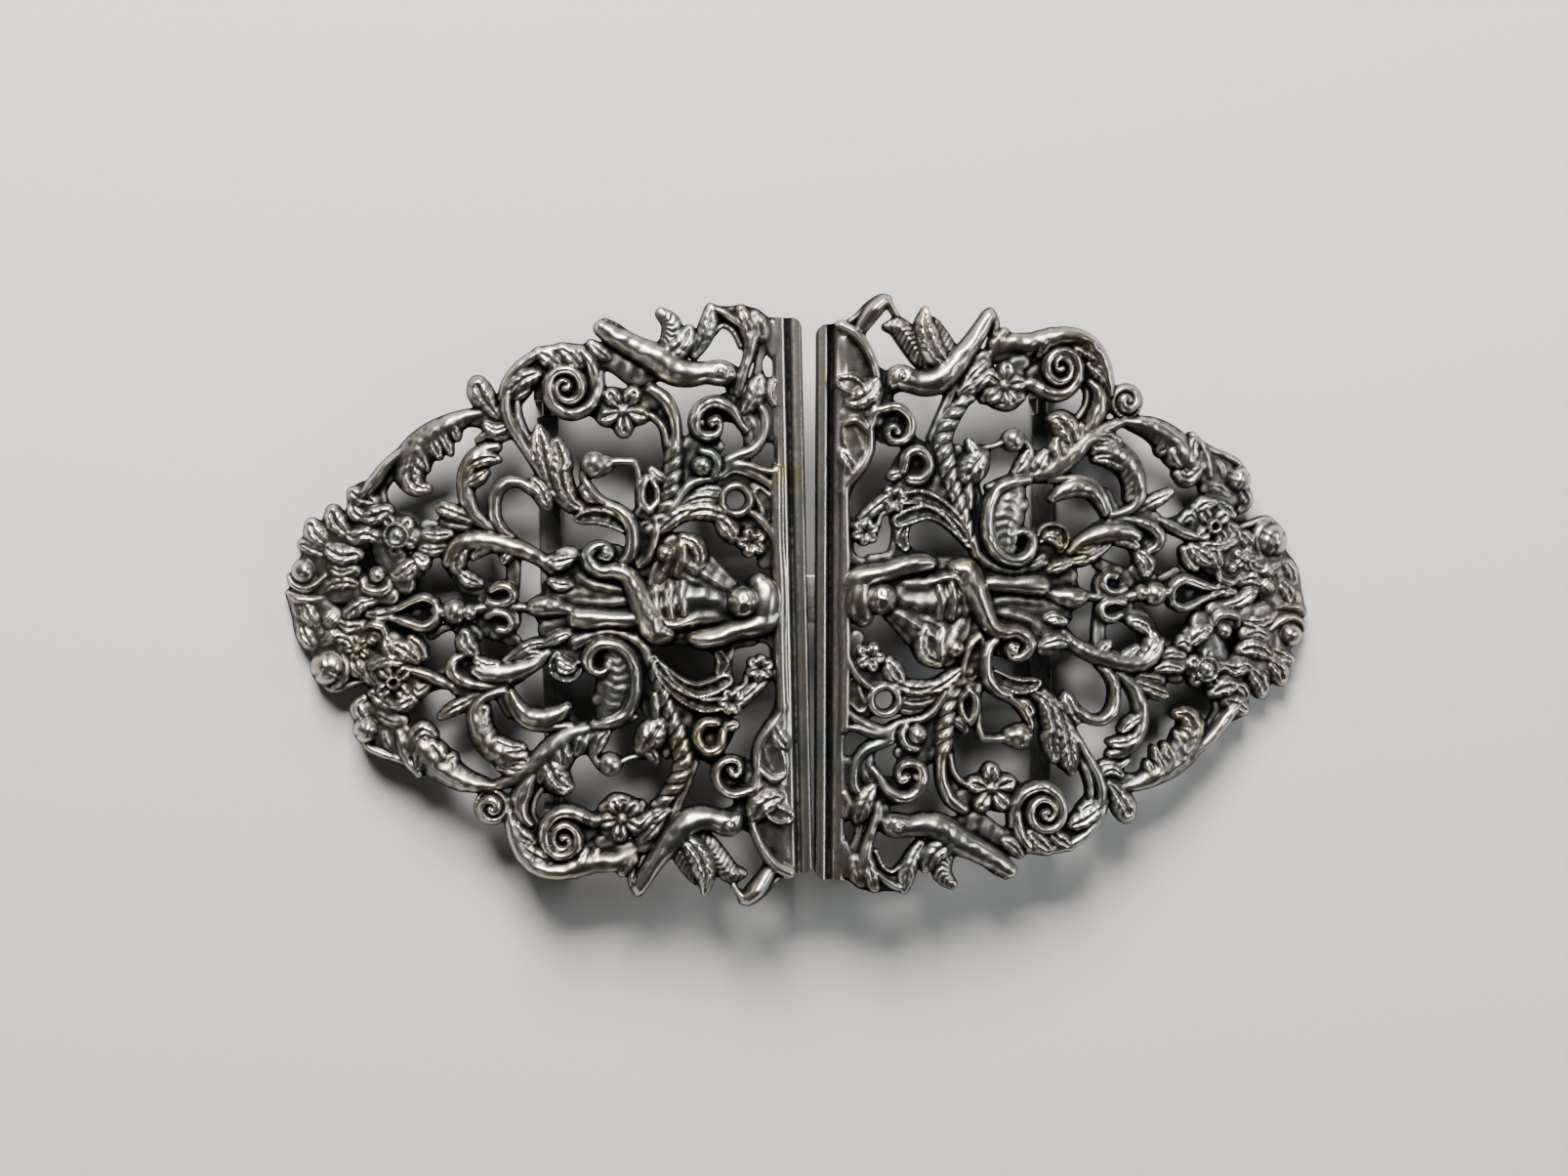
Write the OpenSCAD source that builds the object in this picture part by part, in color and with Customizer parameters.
// Two-piece pierced belt buckle with cast scrolls, birds and flowers.
// Both halves come from one casting; the left one is it turned by 180 degrees.
// X runs along the belt, Y up the buckle as worn, and Z out of its front. Units are mm.

/* [Size] */
// Joint edge to outer end of one half
plate_l = 56; // [50:1:70]
// Height that the tables' thousandths are read against
plate_h = 66; // [60:1:80]
// Rise of the joint above the outer ends
sag = 8; // [7.5:0.1:9]
// Height of a full crown above the back
relief = 4.2; // [3.6:0.1:4.8]
// Turn of each half that opens the joint at its top, degrees
splay = 0.7; // [0.5:0.05:0.75]
// Half of the gap at the middle of the joint
joint_gap = 0.43; // [0.41:0.02:0.8]

// Share by which the strands are wider than their rows say
swell = 1.24; // [1.1:0.02:1.3]

/* [Facets] */
// Farthest that a strand's facets leave its table
drift = 0.6; // [0.4:0.05:0.9]
// Flat strips that the domed back is made of
back_strips = 6; // [4:1:10]

/* [Joint edge] */
// Outer ridge, width and height
outer_ridge_w = 1.3; // [1.1:0.1:1.4]
outer_ridge_h = 1.2; // [1:0.1:1.6]
// Groove between the ridges, width and height of its floor
groove_w = 0.5; // [0.4:0.1:0.7]
groove_h = 0.7; // [0.5:0.1:0.9]
// Inner ridge, width and height
inner_ridge_w = 1.4; // [1.2:0.1:1.6]
inner_ridge_h = 1.5; // [1.3:0.1:1.9]
// Slants of the ridges' edges and of the groove's sides
ridge_ease = 0.3; // [0.2:0.05:0.35]
groove_ease = 0.15; // [0.1:0.05:0.2]
// How far its upper and lower end stay inside half of plate_h
edge_top_in = 3.5; // [3:0.1:4]
edge_bottom_in = 2.8; // [2:0.1:3.2]
// Slant cut off the edge's outer corners
edge_corner = 1.2; // [0.6:0.1:1.6]

/* [Belt bars] */
// Middle of the right bar, from the joint edge
right_bar_x = 26; // [25.4:0.1:26.4]
// Middle of the left bar, from the joint edge
left_bar_x = 27.4; // [26.8:0.1:27.6]
// Width and thickness of the strip
bar_w = 2.45; // [2:0.05:3]
bar_t = 0.9; // [0.7:0.1:1]
// Underside of the strip above the floor
bar_z = 0.6; // [0.5:0.1:0.7]
// How far the ends of its wide part stay inside half of plate_h
bar_in = 12.5; // [12:0.5:14]
// Width of the tongues at its ends
tongue_w = 1.15; // [0.9:0.05:1.3]
// Thickness of the tongues, less than the strip's
tongue_t = 0.7; // [0.5:0.05:0.75]
// How far the tongues' ends stay inside half of plate_h
tongue_in = 9; // [8.8:0.1:9.5]
// Lugs that hold the tongues: width, length, and outer end inside half of plate_h
lug_w = 2.8; // [2.6:0.1:3.2]
lug_l = 2.9; // [2.6:0.1:3.2]
lug_in = 8.1; // [7.8:0.1:8.2]
// How far a lug goes into the casting
lug_root = 0.7; // [0.5:0.1:0.9]
// Gap round the tongues and the hook
fit = 0.12; // [0.1:0.01:0.15]

/* [Clasp] */
// Hook: width, thickness and underside height
hook_w = 5.2; // [4.6:0.2:5.6]
hook_t = 0.9; // [0.8:0.1:1]
hook_z = 6.1; // [6:0.05:6.2]
// Staples under the joint edges: start from the joint edge, depth and wall
staple_x = 1.2; // [1:0.1:1.4]
staple_d = 1.5; // [1.2:0.1:1.7]
staple_wall = 1.2; // [1:0.1:1.5]
// Free run of the hook before its lip and before its head
hook_run = 0.3; // [0.2:0.05:0.5]
// Lip and head of the hook: length and depth of the lip, width of the head
hook_end = 1; // [0.8:0.1:1.2]
lip_drop = 0.9; // [0.7:0.1:1]
head_w = 7.6; // [7.2:0.2:8]

/* [Hidden] */

// The strands start this far below the back, which is cut off, and have their width at the land.
below = 1.5;
land = 0.18;
edge_w = outer_ridge_w + groove_w + inner_ridge_w;
edge_top = plate_h / 2 - edge_top_in;
edge_bottom = edge_bottom_in - plate_h / 2;
bar_reach = plate_h / 2 - bar_in;
tongue_reach = plate_h / 2 - tongue_in;
lug_end = plate_h / 2 - lug_in;
hook_start = joint_gap + staple_x + staple_d + hook_run;
// The turned halves aren't quite symmetrical, so the whole is moved back to the middle.
centre_x = 0.01;
centre_y = 0.09;
// Cutting shapes go this far past what they cut.
past = 4;

// A strand is its rows of [along, up, half_w, crown]: along in thousandths of plate_l,
// up and half_w in thousandths of plate_h, and crown in hundredths of relief.

// Leaves and ground beside the joint.
bar_leaves = [
    [[46, 444, 8, 58], [72, 432, 9, 64], [92, 411, 8, 66], [107, 386, 7, 62], [116, 362, 6, 55]],
    [[60, 418, 12, 26], [72, 395, 20, 26], [78, 368, 24, 26]],
    [[66, 345, 16, 34], [82, 315, 22, 34], [76, 280, 20, 32], [72, 245, 20, 32], [62, 212, 14, 32],
        [54, 182, 8, 32]],
    [[54, 175, 7, 36], [55, 120, 7, 36], [56, 62, 8, 36], [54, 0, 8, 36], [56, -50, 9, 36],
        [57, -100, 8, 36], [56, -180, 8, 36], [55, -210, 8, 36]]
];

// Leaves at the two joint corners.
corner_hooks = [
    [[78, 432, 9, 50], [92, 450, 11, 62], [110, 470, 12, 74], [130, 483, 9, 68], [143, 476, 5, 54],
        [154, 462, 4, 44]],
    [[118, 360, 14, 26], [126, 335, 16, 26], [126, 312, 14, 26]],
    [[72, -438, 12, 28], [100, -455, 16, 28], [140, -463, 12, 28], [172, -466, 8, 28]],
    [[205, -402, 6, 48], [190, -424, 9, 56], [178, -450, 10, 58], [174, -475, 5, 48]],
    [[120, -335, 7, 40], [122, -352, 9, 44], [112, -375, 7, 48], [102, -400, 8, 50],
        [96, -428, 11, 50], [88, -452, 10, 44]],
    [[132, -345, 10, 28], [138, -368, 12, 28]],
    [[112, -308, 6, 48], [99, -325, 11, 56], [89, -344, 11, 56], [82, -360, 5, 46]],
    [[62, -270, 12, 28], [70, -300, 16, 28], [66, -335, 14, 28], [62, -352, 8, 28]],
    [[57, -400, 6, 30], [62, -425, 10, 30], [66, -445, 10, 30]],
    [[86, -362, 9, 26], [84, -385, 5, 26], [76, -412, 9, 26]]
];

// Upper bird.
upper_bird = [
    [[146, 352, 9, 66], [160, 362, 17, 78], [184, 356, 16, 70], [212, 352, 17, 70],
        [240, 360, 19, 74], [265, 381, 18, 72], [292, 408, 14, 68], [316, 437, 12, 64],
        [334, 462, 10, 58]],
    [[250, 382, 9, 62], [226, 402, 14, 74], [212, 428, 14, 76], [207, 452, 9, 68], [210, 472, 4, 56]],
    [[290, 392, 6, 34], [268, 352, 7, 36], [252, 318, 7, 34], [234, 282, 7, 34], [226, 262, 7, 32]],
    [[135, 444, 6, 40], [160, 442, 14, 48], [182, 418, 15, 48], [202, 392, 12, 44],
        [232, 376, 10, 42]],
    [[262, 398, 12, 44], [246, 420, 13, 48], [232, 444, 9, 42], [226, 456, 4, 36]]
];

// Lower bird.
lower_bird = [
    [[140, -366, 10, 62], [156, -370, 17, 78], [184, -371, 15, 70], [216, -369, 17, 72],
        [246, -376, 20, 74], [276, -394, 20, 74], [312, -410, 17, 68], [350, -428, 15, 66],
        [382, -446, 11, 60]],
    [[262, -398, 11, 58], [240, -410, 13, 66], [224, -424, 12, 62], [216, -440, 6, 50]],
    [[266, -408, 10, 44], [250, -430, 14, 50], [250, -452, 13, 50], [268, -468, 8, 44]],
    [[255, -392, 14, 30], [285, -378, 16, 30], [315, -368, 16, 30], [350, -386, 14, 30],
        [385, -404, 13, 30]]
];

// Small scrolls near the joint.
small_scrolls = [
    [[100, 300, 7, 54], [112, 306, 7, 58], [132, 311, 7, 62], [155, 313, 7, 64], [173, 304, 7, 64],
        [183, 287, 7, 64], [179, 268, 7, 62], [163, 258, 6, 60], [146, 258, 6, 60],
        [137, 268, 5, 60], [141, 280, 5, 62], [152, 281, 5, 64], [156, 273, 6, 66]]
];

// Twisted stem above and below the figure.
rope_stem = [
    [[300, 340, 8, 50], [284, 322, 10, 54], [265, 300, 12, 58], [250, 276, 13, 60],
        [245, 252, 14, 60], [254, 218, 14, 58], [266, 186, 12, 56], [280, 152, 11, 54],
        [293, 122, 9, 50], [304, 95, 8, 48]],
    [[304, 95, 8, 46], [318, 70, 8, 46], [345, 54, 7, 46], [385, 47, 7, 46], [425, 52, 6, 46],
        [450, 60, 5, 46]],
    [[228, 262, 8, 30], [230, 238, 10, 30], [238, 205, 12, 30], [240, 180, 12, 30],
        [262, 150, 12, 30], [282, 118, 10, 30]],
    [[275, 245, 8, 26], [286, 212, 14, 26], [300, 172, 16, 26], [312, 132, 14, 26],
        [320, 92, 12, 26], [345, 62, 12, 26], [395, 52, 10, 26]],
    [[300, -120, 9, 44], [276, -142, 10, 48], [262, -165, 12, 54], [256, -190, 12, 58],
        [252, -218, 13, 58], [250, -246, 12, 58]],
    [[252, -250, 12, 26], [258, -290, 12, 26], [272, -322, 12, 30], [292, -340, 12, 30]],
    [[222, -200, 13, 28], [222, -228, 14, 28], [216, -256, 13, 28], [190, -258, 10, 28],
        [166, -252, 9, 28]]
];

// Small buds and strands near the joint.
left_buds = [
    [[90, 130, 7, 46], [108, 145, 8, 54], [130, 160, 8, 54]],
    [[58, 126, 7, 38], [84, 114, 9, 42]],
    [[150, 145, 4, 36], [154, 108, 4, 36], [150, 82, 5, 36], [144, 62, 6, 38]],
    [[160, 175, 12, 28], [178, 186, 12, 28]]
];

// Two bands over the figure.
wing_bands = [
    [[172, 166, 9, 54], [204, 167, 10, 60], [234, 156, 10, 60], [261, 138, 9, 56],
        [284, 113, 8, 52], [298, 92, 6, 48]],
    [[160, 128, 9, 50], [184, 137, 11, 58], [216, 143, 10, 60], [246, 134, 9, 56],
        [270, 118, 8, 52], [289, 100, 6, 48]]
];

// Figure: shoulders, arms, cloak and legs.
figure = [
    [[66, 24, 12, 62], [80, 32, 17, 74], [104, 40, 16, 80], [138, 46, 14, 80], [172, 56, 14, 82],
        [204, 60, 13, 78], [222, 59, 9, 68]],
    [[84, 26, 16, 74], [82, 8, 20, 78], [82, -12, 20, 74], [92, -28, 14, 60]],
    [[110, 62, 10, 30], [150, 66, 10, 30], [190, 68, 10, 30], [235, 58, 10, 30], [275, 58, 10, 30]],
    [[140, 14, 22, 48], [176, 4, 30, 54], [214, 0, 36, 58], [252, 4, 36, 62], [276, 4, 32, 60]],
    [[160, -22, 14, 48], [196, -40, 18, 52], [226, -54, 22, 54], [246, -72, 28, 56],
        [252, -90, 18, 52]],
    [[272, 50, 10, 68], [292, 45, 15, 78], [305, 24, 16, 82], [318, -2, 15, 82],
        [331, -28, 14, 78], [346, -47, 13, 74], [368, -54, 12, 72]],
    [[324, 25, 10, 58], [352, 26, 12, 66], [386, 24, 12, 68], [416, 24, 15, 72], [440, 22, 15, 70]],
    [[318, 44, 9, 30], [360, 44, 9, 30], [410, 46, 9, 30], [450, 38, 10, 30]],
    [[346, -6, 14, 36], [390, -10, 20, 38], [440, -14, 22, 38], [480, -18, 16, 38]],
    [[376, -40, 10, 30], [410, -40, 14, 30], [440, -52, 16, 30], [470, -56, 16, 30],
        [488, -66, 14, 30]]
];

// Scroll and leaf under the figure.
figure_scroll = [
    [[368, -54, 12, 70], [392, -53, 11, 70], [410, -61, 11, 70], [419, -76, 10, 70],
        [410, -90, 9, 68], [394, -96, 7, 64], [380, -93, 5, 60], [373, -83, 5, 60],
        [380, -74, 5, 62], [392, -77, 6, 64]],
    [[350, -66, 8, 56], [337, -80, 9, 62], [331, -102, 10, 66], [334, -124, 10, 68],
        [344, -142, 10, 66], [360, -153, 8, 60], [380, -158, 6, 52]],
    [[345, -130, 10, 28], [370, -148, 12, 28], [400, -155, 12, 28], [430, -155, 10, 28]],
    [[445, -76, 5, 56], [464, -71, 9, 66], [480, -69, 9, 66], [493, -73, 5, 56]]
];

// Strands round the eyelet ring.
left_rings = [
    [[214, -152, 5, 52], [240, -143, 9, 60], [263, -130, 9, 58], [282, -116, 5, 50]],
    [[312, -50, 10, 30], [316, -80, 14, 30], [312, -110, 14, 30], [300, -135, 12, 30]],
    [[80, -62, 10, 30], [74, -90, 14, 30], [88, -118, 14, 30], [120, -132, 14, 30],
        [165, -148, 12, 30], [205, -156, 10, 30], [250, -150, 10, 30]],
    [[74, -136, 7, 42], [74, -156, 12, 44], [88, -174, 9, 42]],
    [[58, -172, 5, 42], [68, -188, 6, 46], [88, -200, 7, 48], [112, -210, 8, 50],
        [136, -215, 8, 50], [160, -204, 6, 46], [184, -198, 5, 44]],
    [[146, -228, 8, 52], [121, -236, 9, 52], [98, -245, 8, 52], [82, -262, 7, 50],
        [75, -282, 7, 50], [76, -304, 7, 48], [85, -316, 6, 44]],
    [[92, -262, 9, 26], [96, -285, 14, 26], [110, -300, 14, 26], [122, -318, 10, 26],
        [150, -330, 6, 26]],
    [[196, -244, 6, 54], [176, -238, 7, 58], [167, -222, 7, 60], [175, -206, 6, 56]],
    [[298, -165, 12, 22], [297, -190, 10, 22], [280, -205, 10, 26]],
    [[316, -150, 5, 44], [318, -178, 5, 46], [318, -206, 5, 48], [326, -226, 6, 52],
        [346, -230, 6, 52], [370, -229, 7, 54], [396, -228, 9, 54]]
];

// Large smooth scroll and its shell.
smooth_scroll = [
    [[414, 196, 7, 60], [390, 193, 9, 66], [364, 185, 10, 68], [346, 170, 10, 68],
        [336, 148, 10, 70], [333, 120, 10, 72], [340, 92, 10, 74], [358, 72, 10, 76],
        [385, 63, 10, 76], [408, 68, 10, 76], [422, 85, 9, 74], [419, 103, 8, 72],
        [403, 111, 7, 70], [388, 107, 6, 68], [385, 97, 6, 68]],
    [[358, 165, 12, 34], [352, 140, 10, 30], [356, 112, 14, 24], [368, 92, 16, 24],
        [395, 84, 14, 24]],
    [[438, 78, 12, 28], [462, 88, 18, 28], [488, 74, 12, 28], [520, 68, 12, 28]],
    [[400, 52, 4, 44], [428, 60, 6, 50], [446, 69, 4, 44]],
    [[448, 58, 14, 30], [480, 50, 14, 30], [500, 40, 12, 30]]
];

// Upper spiral and the arch round it.
top_scroll = [
    [[404, 352, 9, 50], [424, 352, 10, 58], [446, 341, 10, 64], [474, 336, 10, 68],
        [498, 345, 9, 70], [512, 364, 9, 70], [512, 387, 9, 70], [498, 404, 8, 70],
        [476, 407, 8, 70], [456, 398, 8, 70], [449, 382, 8, 70], [456, 365, 7, 70],
        [474, 357, 7, 70], [492, 364, 6, 70], [497, 380, 6, 70], [488, 394, 6, 70],
        [474, 395, 5, 70], [466, 386, 5, 70], [470, 377, 5, 72], [479, 378, 6, 74]],
    [[352, 416, 13, 48], [385, 421, 13, 56], [420, 420, 15, 60], [455, 427, 15, 66],
        [490, 433, 13, 70], [524, 428, 12, 70], [550, 410, 12, 70], [567, 384, 11, 68],
        [576, 356, 9, 64], [579, 338, 6, 56]],
    [[350, 404, 14, 30], [390, 405, 14, 30], [430, 402, 14, 30], [470, 416, 12, 30],
        [505, 410, 14, 30], [530, 390, 16, 30], [548, 360, 16, 30]],
    [[540, 356, 6, 54], [556, 342, 10, 64], [558, 320, 12, 66], [548, 298, 12, 64],
        [534, 278, 9, 58]],
    [[560, 318, 9, 34], [600, 326, 12, 34]]
];

// Flower cluster beside the upper spiral.
top_flower = [
    [[285, 335, 10, 30], [305, 358, 18, 30], [320, 382, 16, 30], [325, 396, 10, 30]]
];

// Leaf rod and C scrolls, upper middle.
centre_leaves = [
    [[412, 202, 7, 46], [440, 206, 11, 54], [470, 216, 14, 60], [500, 236, 15, 64],
        [528, 258, 13, 62], [556, 276, 11, 58], [588, 288, 8, 52], [610, 294, 6, 48]],
    [[455, 230, 10, 30], [480, 262, 12, 30], [500, 272, 12, 30]],
    [[546, 242, 5, 50], [566, 246, 10, 58], [592, 240, 14, 64], [618, 222, 15, 66],
        [635, 197, 13, 66], [640, 174, 12, 64], [630, 154, 8, 58], [606, 143, 7, 54],
        [584, 138, 6, 50]],
    [[572, 172, 10, 34], [592, 140, 10, 34], [604, 120, 9, 34]],
    [[456, 197, 5, 46], [480, 198, 6, 50], [512, 200, 6, 52], [542, 194, 6, 52], [562, 178, 6, 52],
        [576, 156, 6, 50], [582, 142, 5, 46]],
    [[464, 166, 7, 56], [486, 178, 12, 64], [514, 184, 14, 68], [542, 178, 12, 66],
        [560, 160, 9, 62], [570, 142, 6, 54]],
    [[404, 262, 6, 50], [417, 246, 6, 50], [420, 228, 6, 48], [412, 212, 6, 48], [394, 203, 5, 46],
        [366, 195, 5, 44], [336, 184, 5, 42]],
    [[322, 236, 9, 58], [306, 217, 16, 70], [290, 201, 11, 62]]
];

// Leaf along the upper outer edge.
outer_leaf_top = [
    [[586, 290, 4, 44], [612, 293, 6, 50], [640, 291, 10, 58], [668, 284, 13, 62],
        [696, 272, 14, 64], [722, 254, 15, 66], [742, 230, 14, 66]],
    [[752, 262, 6, 58], [750, 238, 9, 66], [738, 216, 6, 58]],
    [[774, 244, 6, 54], [762, 216, 9, 60], [742, 200, 10, 60], [722, 208, 6, 54]],
    [[764, 262, 4, 46], [790, 248, 5, 48], [818, 240, 6, 50], [844, 230, 6, 50], [860, 216, 5, 46]],
    [[780, 240, 14, 30], [800, 222, 18, 30], [826, 212, 16, 30], [800, 198, 14, 30],
        [770, 210, 14, 30]],
    [[786, 186, 12, 30], [808, 178, 16, 30], [832, 164, 14, 30], [800, 150, 16, 30],
        [828, 140, 12, 30], [780, 140, 14, 30], [760, 125, 14, 30]],
    [[640, 148, 6, 44], [662, 158, 8, 50], [686, 168, 8, 58], [706, 178, 5, 54]]
];

// Wave stems above and below the middle.
arch_stems = [
    [[500, 78, 6, 46], [520, 92, 10, 56], [550, 104, 13, 62], [584, 110, 15, 66],
        [616, 110, 14, 66], [636, 104, 9, 60]],
    [[582, 128, 6, 46], [610, 131, 7, 52], [640, 128, 8, 58], [668, 119, 10, 62],
        [684, 103, 10, 62], [678, 87, 8, 58], [660, 79, 5, 52]],
    [[684, 130, 6, 48], [712, 119, 9, 56], [742, 108, 9, 56], [772, 101, 6, 50]],
    [[660, 24, 6, 26], [700, 36, 6, 26], [720, 44, 8, 26]],
    [[489, -58, 7, 46], [508, -74, 10, 54], [540, -89, 12, 60], [580, -100, 14, 66],
        [620, -107, 14, 68], [654, -104, 13, 68], [676, -90, 11, 64], [686, -72, 8, 56]],
    [[630, -28, 9, 28], [650, -34, 12, 28], [668, -58, 12, 28], [684, -84, 10, 28]],
    [[560, -88, 10, 34], [562, -40, 10, 30], [575, -20, 14, 28]],
    [[562, -112, 5, 46], [580, -124, 8, 56], [592, -142, 9, 60], [594, -164, 9, 62],
        [588, -186, 10, 64], [570, -200, 9, 64], [546, -200, 8, 62], [524, -190, 9, 62],
        [508, -180, 7, 58]],
    [[516, -200, 6, 54], [504, -184, 10, 66], [496, -168, 9, 66], [492, -158, 4, 58]]
];

// Middle stem with its calyx.
centre_stem = [
    [[456, 9, 7, 48], [480, 4, 12, 58], [504, 2, 15, 70], [521, 3, 12, 64], [531, 5, 6, 52]],
    [[530, 5, 6, 48], [562, 2, 6, 48], [602, 2, 7, 50], [640, 6, 8, 52], [700, 6, 8, 52],
        [712, 5, 7, 54]],
    [[713, -8, 6, 54], [708, 8, 7, 60], [716, 24, 8, 66], [735, 32, 8, 68], [758, 27, 8, 64],
        [780, 21, 7, 58], [798, 17, 5, 50]],
    [[735, 8, 18, 22], [765, 8, 14, 24], [795, 10, 12, 28], [820, 8, 14, 30], [845, 0, 14, 30]],
    [[462, 26, 10, 28], [490, 28, 12, 28], [505, 20, 10, 28]],
    [[826, -12, 5, 52], [850, -8, 8, 64], [872, 4, 10, 68], [886, 11, 6, 60]],
    [[560, 58, 8, 28], [585, 46, 12, 28], [612, 32, 14, 28], [600, 12, 14, 28], [570, 22, 14, 28]]
];

// Leaves and strands, lower middle.
low_leaves = [
    [[430, -156, 6, 48], [450, -168, 9, 58], [462, -190, 12, 64], [468, -214, 13, 66],
        [464, -234, 12, 62], [472, -262, 7, 54]],
    [[450, -156, 5, 48], [476, -180, 8, 56], [488, -206, 10, 60], [496, -234, 13, 66],
        [502, -262, 12, 66], [506, -288, 4, 54]],
    [[486, -170, 5, 46], [500, -206, 5, 50], [518, -234, 7, 56], [536, -258, 7, 60],
        [551, -280, 8, 62], [563, -302, 9, 64], [568, -325, 9, 62], [562, -344, 7, 58]],
    [[532, -282, 5, 26], [550, -304, 10, 26], [556, -328, 12, 26], [540, -348, 12, 28]],
    [[584, -308, 6, 50], [600, -325, 10, 58], [614, -344, 14, 64], [620, -358, 11, 60]],
    [[598, -124, 7, 48], [620, -138, 9, 54], [638, -158, 11, 58], [648, -184, 12, 62],
        [647, -212, 12, 62], [633, -238, 12, 60], [610, -254, 10, 56], [586, -258, 7, 50]],
    [[604, -127, 5, 46], [636, -140, 6, 50], [664, -150, 9, 58], [688, -158, 9, 60],
        [701, -163, 4, 52]],
    [[610, -118, 8, 28], [640, -128, 10, 28], [670, -130, 10, 28], [700, -128, 10, 28],
        [725, -132, 10, 28]],
    [[614, -314, 6, 46], [644, -309, 9, 54], [674, -299, 12, 60], [704, -284, 13, 62],
        [732, -266, 13, 62]],
    [[734, -268, 9, 60], [744, -242, 14, 68], [754, -216, 15, 72], [744, -197, 11, 72],
        [722, -193, 6, 64]],
    [[556, -292, 11, 34], [600, -300, 11, 34], [640, -306, 10, 34]],
    [[738, -270, 5, 46], [772, -252, 7, 52], [798, -232, 9, 58], [820, -210, 10, 60],
        [842, -188, 9, 58], [858, -178, 6, 52]],
    [[752, -250, 12, 28], [776, -236, 10, 28], [800, -214, 10, 28], [812, -190, 8, 28],
        [808, -168, 8, 28]]
];

// Lower spiral and the arch round it.
low_scroll = [
    [[388, -372, 7, 48], [390, -348, 9, 56], [402, -326, 9, 62], [424, -312, 9, 66],
        [448, -309, 9, 68], [470, -319, 9, 70], [484, -338, 9, 70], [485, -360, 9, 70],
        [472, -376, 8, 70], [450, -380, 8, 70], [430, -371, 8, 70], [422, -354, 8, 70],
        [428, -337, 7, 70], [446, -329, 7, 70], [464, -335, 6, 70], [471, -350, 6, 70],
        [462, -361, 5, 70], [450, -360, 5, 70], [446, -352, 5, 72], [455, -350, 6, 74]],
    [[385, -392, 12, 28], [412, -392, 14, 30], [445, -394, 16, 30], [480, -388, 16, 30],
        [515, -378, 14, 30], [545, -362, 14, 30]],
    [[420, -412, 7, 44], [452, -414, 7, 50], [486, -411, 7, 54], [518, -400, 8, 56],
        [546, -382, 8, 58], [566, -360, 7, 56], [575, -336, 6, 54]],
    [[345, -312, 26, 28], [365, -320, 24, 28], [395, -318, 12, 28], [395, -338, 10, 28]],
    [[286, -326, 12, 32], [310, -318, 14, 32], [332, -314, 14, 32]]
];

// Petals and leaves of the outer end.
outer_flowers = [
    [[770, -40, 16, 34], [786, -66, 20, 34], [800, -100, 24, 34], [784, -126, 22, 34],
        [760, -118, 16, 34], [735, -110, 12, 30], [700, -106, 10, 30]],
    [[800, -20, 14, 34], [840, -22, 16, 34], [880, -26, 18, 34], [920, -30, 20, 34],
        [958, -40, 20, 34]],
    [[872, -60, 14, 34], [905, -66, 20, 34], [940, -76, 22, 34], [925, -108, 18, 34],
        [890, -108, 16, 34], [850, -114, 16, 34], [830, -132, 14, 34], [850, -158, 14, 30]],
    [[820, 100, 20, 34], [850, 84, 22, 34], [890, 76, 22, 34], [930, 64, 22, 34],
        [958, 36, 20, 34], [968, 4, 18, 34], [985, -20, 12, 34]],
    [[770, 78, 18, 34], [800, 62, 20, 34], [840, 46, 22, 34], [880, 36, 22, 34], [915, 20, 22, 34],
        [935, -5, 18, 34]]
];

strands = concat(
    bar_leaves, corner_hooks, upper_bird, lower_bird, small_scrolls, rope_stem, left_buds,
    wing_bands, figure, figure_scroll, left_rings, smooth_scroll, top_scroll, top_flower,
    centre_leaves, outer_leaf_top, arch_stems, centre_stem, low_leaves, low_scroll,
    outer_flowers
);
// Beads and small flowers are rows of [along, up, radius, crown].
beads = [
    [125, 2, 22, 92], [270, -80, 13, 74], [385, 261, 16, 70], [402, -226, 18, 76],
    [613, 328, 24, 66], [675, 8, 17, 74], [967, -62, 19, 78], [852, 199, 18, 78],
    [924, 97, 24, 80], [197, -220, 14, 72], [480, 378, 13, 74], [454, -351, 13, 74],
    [150, 163, 21, 60], [95, 110, 21, 60], [105, -94, 22, 62], [865, 66, 20, 70]
];

// Large flowers are rows of [along, up, radius, petals, start, crown].
flowers = [
    [345, -312, 40, 5, 20, 60], [365, 350, 36, 5, 80, 60],
    [783, -118, 36, 6, 0, 76], [796, 121, 32, 6, 30, 78]
];

// The eyelet ring is [along, up, radius, half_w, crown].
eyelet = [134, -164, 20, 5, 56];

function dome(x) = sag * (1 - pow(x / plate_l, 2));
function spot(row) = [row[0] / 1000 * plate_l, row[1] / 1000 * plate_h];
function half_w(row) = row[2] / 1000 * plate_h * swell;
function height(share) = relief * share / 100;

// How far row i lies from the straight stretch between rows a and b, in place and width.
function stray(rows, a, i, b) =
    let (
        start = spot(rows[a]),
        run = spot(rows[b]) - start,
        step = spot(rows[i]) - start,
        t = max(0, min(1, (step * run) / (run * run))),
        w = half_w(rows[a]) * (1 - t) + half_w(rows[b]) * t
    )
    norm(step - run * t) + abs(half_w(rows[i]) - w);

// Rows between a and b that the facets can't leave out.
function needed(rows, a, b) =
    b - a < 2 ? [] :
    let (
        strays = [for (i = [a + 1:b - 1]) stray(rows, a, i, b)],
        worst = a + 1 + search(max(strays), strays)[0]
    )
    max(strays) <= drift ? [] : concat(needed(rows, a, worst), [worst], needed(rows, worst, b));

function thinned(rows) =
    let (last = len(rows) - 1)
    [for (i = concat([0], needed(rows, 0, last), [last])) rows[i]];

// Unit vector across the strand at row i.
function across(rows, i) =
    let (run = spot(rows[min(i + 1, len(rows) - 1)]) - spot(rows[max(i - 1, 0)]))
    [-run[1], run[0]] / norm(run);

function raised(at, z) = [at[0], at[1], z + dome(at[0])];

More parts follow.
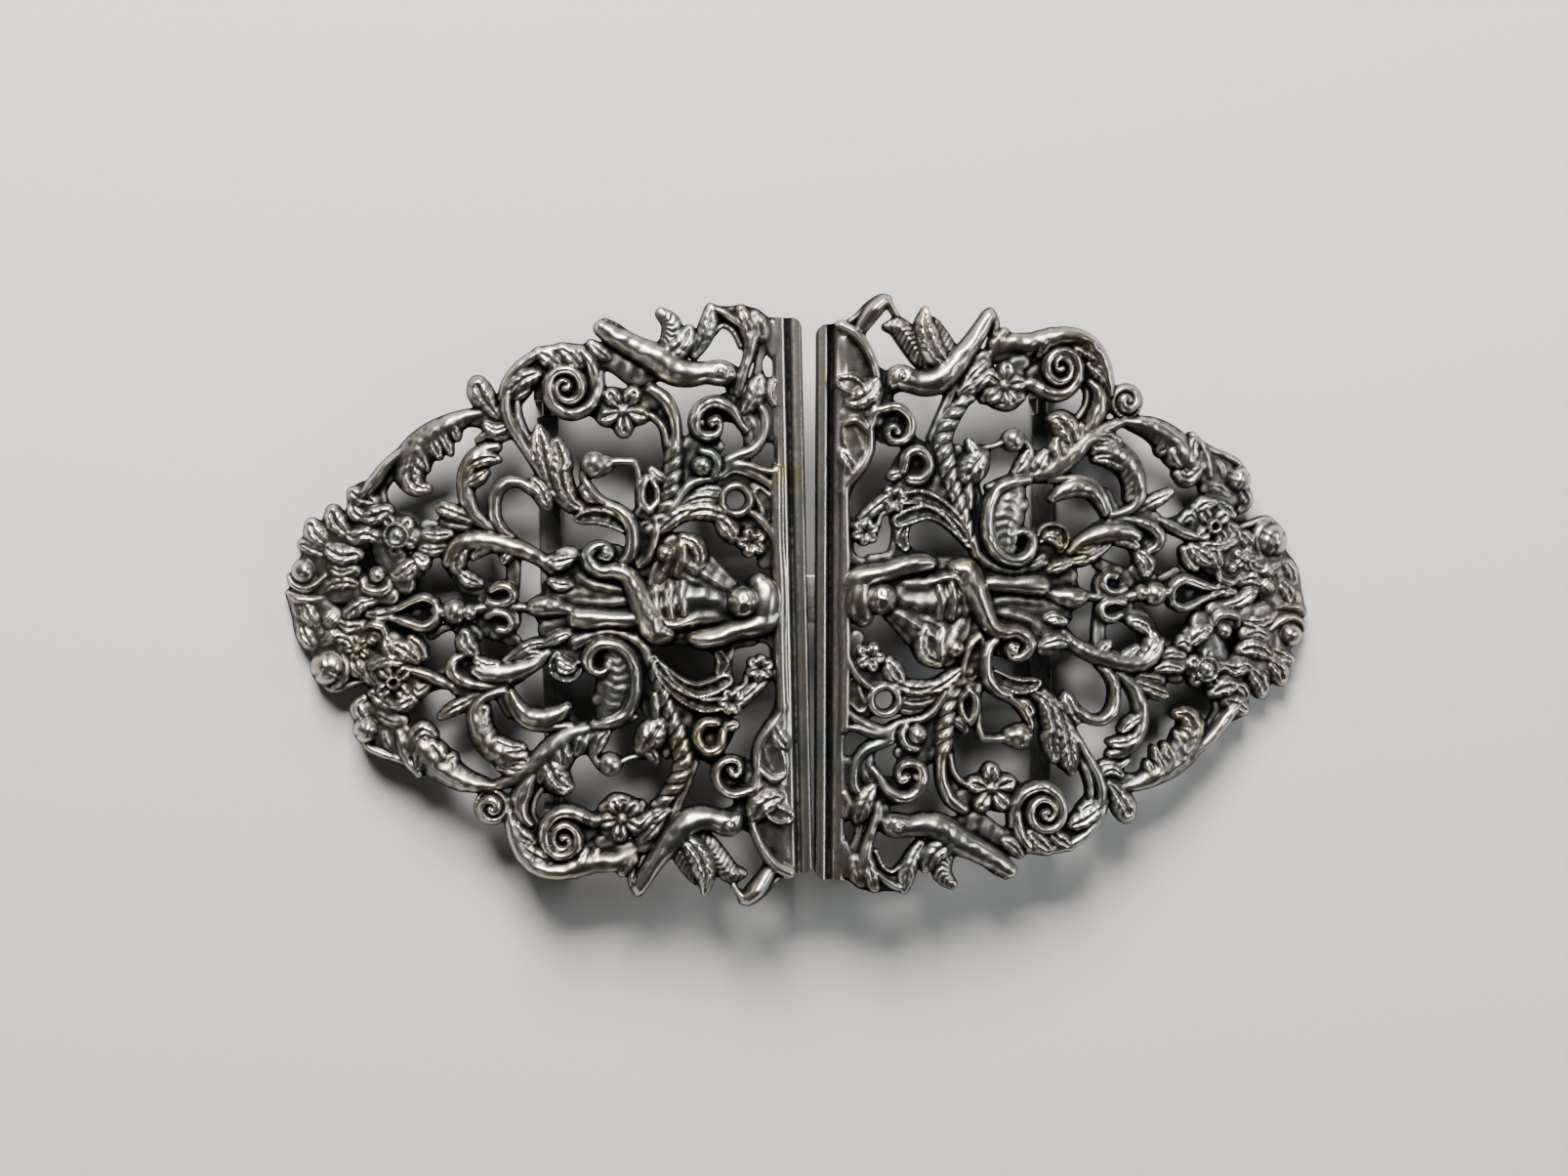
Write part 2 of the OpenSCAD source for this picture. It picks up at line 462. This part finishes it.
// Section of a strand at row i: its crest and its two feet below the back.
function section(rows, i) =
    let (
        at = spot(rows[i]),
        crest = height(rows[i][3]),
        foot = across(rows, i) * half_w(rows[i]) * (crest + below) / (crest - land)
    )
    [raised(at, crest), raised(at - foot, -below), raised(at + foot, -below)];

module strand(rows) {
    for (i = [0:len(rows) - 2])
        hull() polyhedron(
            concat(section(rows, i), section(rows, i + 1)),
            [[0, 2, 1], [3, 4, 5], [0, 1, 4, 3], [1, 2, 5, 4], [2, 0, 3, 5]]
        );
}

// A point on a ring round the row's spot, raised with the dome.
function ring_point(row, r, angle, z) =
    raised(spot(row) + r * [cos(angle), sin(angle)], z);

module bead(row) {
    top = height(row[3]);
    r = half_w(row);
    hull() polyhedron(
        concat(
            [raised(spot(row), top)],
            [for (z = [-below, top * 0.6], i = [0:5]) ring_point(row, r, 60 * i, z)]
        ),
        [[for (i = [0:12]) i]]
    );
}

// A flower is a pointed star with its petals' tips up.
module flower(row) {
    n = row[3];
    top = height(row[5]);
    r = half_w(row);
    for (i = [0:n - 1]) {
        turn = row[4] + 360 * i / n;
        tip = ring_point(row, r, turn, top * 0.8);
        side_a = ring_point(row, r * 0.6, turn - 180 / n, top * 0.5);
        side_b = ring_point(row, r * 0.6, turn + 180 / n, top * 0.5);
        middle = raised(spot(row), top);
        feet = [for (p = [tip, side_a, side_b, middle]) raised([p[0], p[1]], -below)];
        hull() polyhedron(concat([tip, side_a, side_b, middle], feet), [[for (k = [0:7]) k]]);
    }
}

module eyelet_ring() {
    r = half_w(eyelet);
    w = eyelet[3] / 1000 * plate_h;
    top = height(eyelet[4]);
    for (i = [0:9])
        hull() polyhedron(
            [for (a = [36 * i, 36 * i + 36], p = [[r - w, -below], [r + w, -below], [r, top]])
                ring_point(eyelet, p[0], a, p[1])],
            [[for (k = [0:5]) k]]
        );
}

module ornament() {
    for (rows = strands) strand(thinned(rows));
    for (row = beads) bead(row);
    for (row = flowers) flower(row);
    eyelet_ring();
}

// Moulded edge along the joint, drawn from its end and cut slanted at the outer corners.
module joint_edge() {
    run = edge_top - edge_bottom;
    groove_x = outer_ridge_w + groove_w;
    translate([0, edge_top, dome(0)])
        rotate([90, 0, 0])
            linear_extrude(height = run)
                polygon([
                    [0, -below], [0, outer_ridge_h - ridge_ease], [ridge_ease, outer_ridge_h],
                    [outer_ridge_w - groove_ease, outer_ridge_h], [outer_ridge_w, groove_h],
                    [groove_x, groove_h], [groove_x + groove_ease, inner_ridge_h],
                    [edge_w - ridge_ease, inner_ridge_h], [edge_w, inner_ridge_h - ridge_ease],
                    [edge_w, -below]
                ]);
}

module edge_corners() {
    for (y = [edge_top, edge_bottom])
        translate([0, y, 0])
            rotate([0, 0, 45])
                cube([edge_corner * sqrt(2), edge_corner * sqrt(2), 10 * past], center = true);
}

// Everything under the domed back.
module under_back() {
    reach = plate_l + past;
    rotate([90, 0, 0])
        linear_extrude(height = 2 * plate_h, center = true)
            polygon(concat(
                [[-past, -5 * past], [-past, dome(0)]],
                [for (i = [0:back_strips]) let (x = plate_l * i / back_strips) [x, dome(x)]],
                [[reach, 0], [reach, -5 * past]]
            ));
}

// A lug with a blind slot for the belt bar's tongue.
module lug(x, side) {
    inner = lug_end - lug_l;
    slot_end = tongue_reach + fit;
    slot = [tongue_w + 2 * fit, slot_end - inner + past, tongue_t + 2 * fit];
    translate([x, 0, 0])
        scale([1, side, 1])
            difference() {
                translate([-lug_w / 2, inner, 0])
                    cube([lug_w, lug_l, dome(x) + lug_root]);
                translate([-slot[0] / 2, slot_end - slot[1], bar_z + (bar_t - slot[2]) / 2])
                    cube(slot);
            }
}

// A staple under the joint edge, round the hook.
module staple() {
    inner = hook_w + 2 * fit;
    top = dome(0) + groove_h / 2;
    sill = hook_z - fit;
    translate([staple_x, 0, 0])
        difference() {
            translate([0, -inner / 2 - staple_wall, sill - staple_wall])
                cube([staple_d, inner + 2 * staple_wall, top - sill + staple_wall]);
            translate([-past, -inner / 2, sill])
                cube([staple_d + 2 * past, inner, dome(0) - sill]);
        }
}

module half_plate(bar_x) {
    union() {
        difference() {
            union() {
                ornament();
                joint_edge();
            }
            under_back();
            edge_corners();
        }
        for (side = [-1, 1]) lug(bar_x, side);
        staple();
    }
}

// Puts a half on its side of the joint: 1 is the right half and -1 the left one.
module placed(side) {
    translate([centre_x, centre_y, 0])
        rotate([0, 0, -splay * side])
            translate([joint_gap * side, 0, 0])
                rotate([0, 0, side > 0 ? 0 : 180])
                    children();
}

module belt_bar(x) {
    translate([x, 0, bar_z + bar_t / 2])
        union() {
            cube([bar_w, 2 * bar_reach, bar_t], center = true);
            cube([tongue_w, 2 * tongue_reach, tongue_t], center = true);
        }
}

module left_plate() {
    color([0.62, 0.62, 0.60]) placed(-1) half_plate(left_bar_x);
}

module right_plate() {
    color([0.66, 0.66, 0.63]) placed(1) half_plate(right_bar_x);
}

module left_belt_bar() {
    color([0.80, 0.80, 0.78]) placed(-1) belt_bar(left_bar_x);
}

module right_belt_bar() {
    color([0.80, 0.80, 0.78]) placed(1) belt_bar(right_bar_x);
}

// A flat hook: its lip drops behind the left staple and its head stays behind the right one.
module clasp_hook() {
    run = 2 * (hook_start + hook_end);
    color([0.50, 0.50, 0.50])
        translate([centre_x, centre_y, hook_z])
            union() {
                translate([-run / 2, -hook_w / 2, 0])
                    cube([run, hook_w, hook_t]);
                translate([-run / 2, -hook_w / 2, -lip_drop])
                    cube([hook_end, hook_w, lip_drop + hook_t]);
                translate([run / 2 - hook_end, -head_w / 2, 0])
                    cube([hook_end, head_w, hook_t]);
            }
}

left_plate();
right_plate();
left_belt_bar();
right_belt_bar();
clasp_hook();
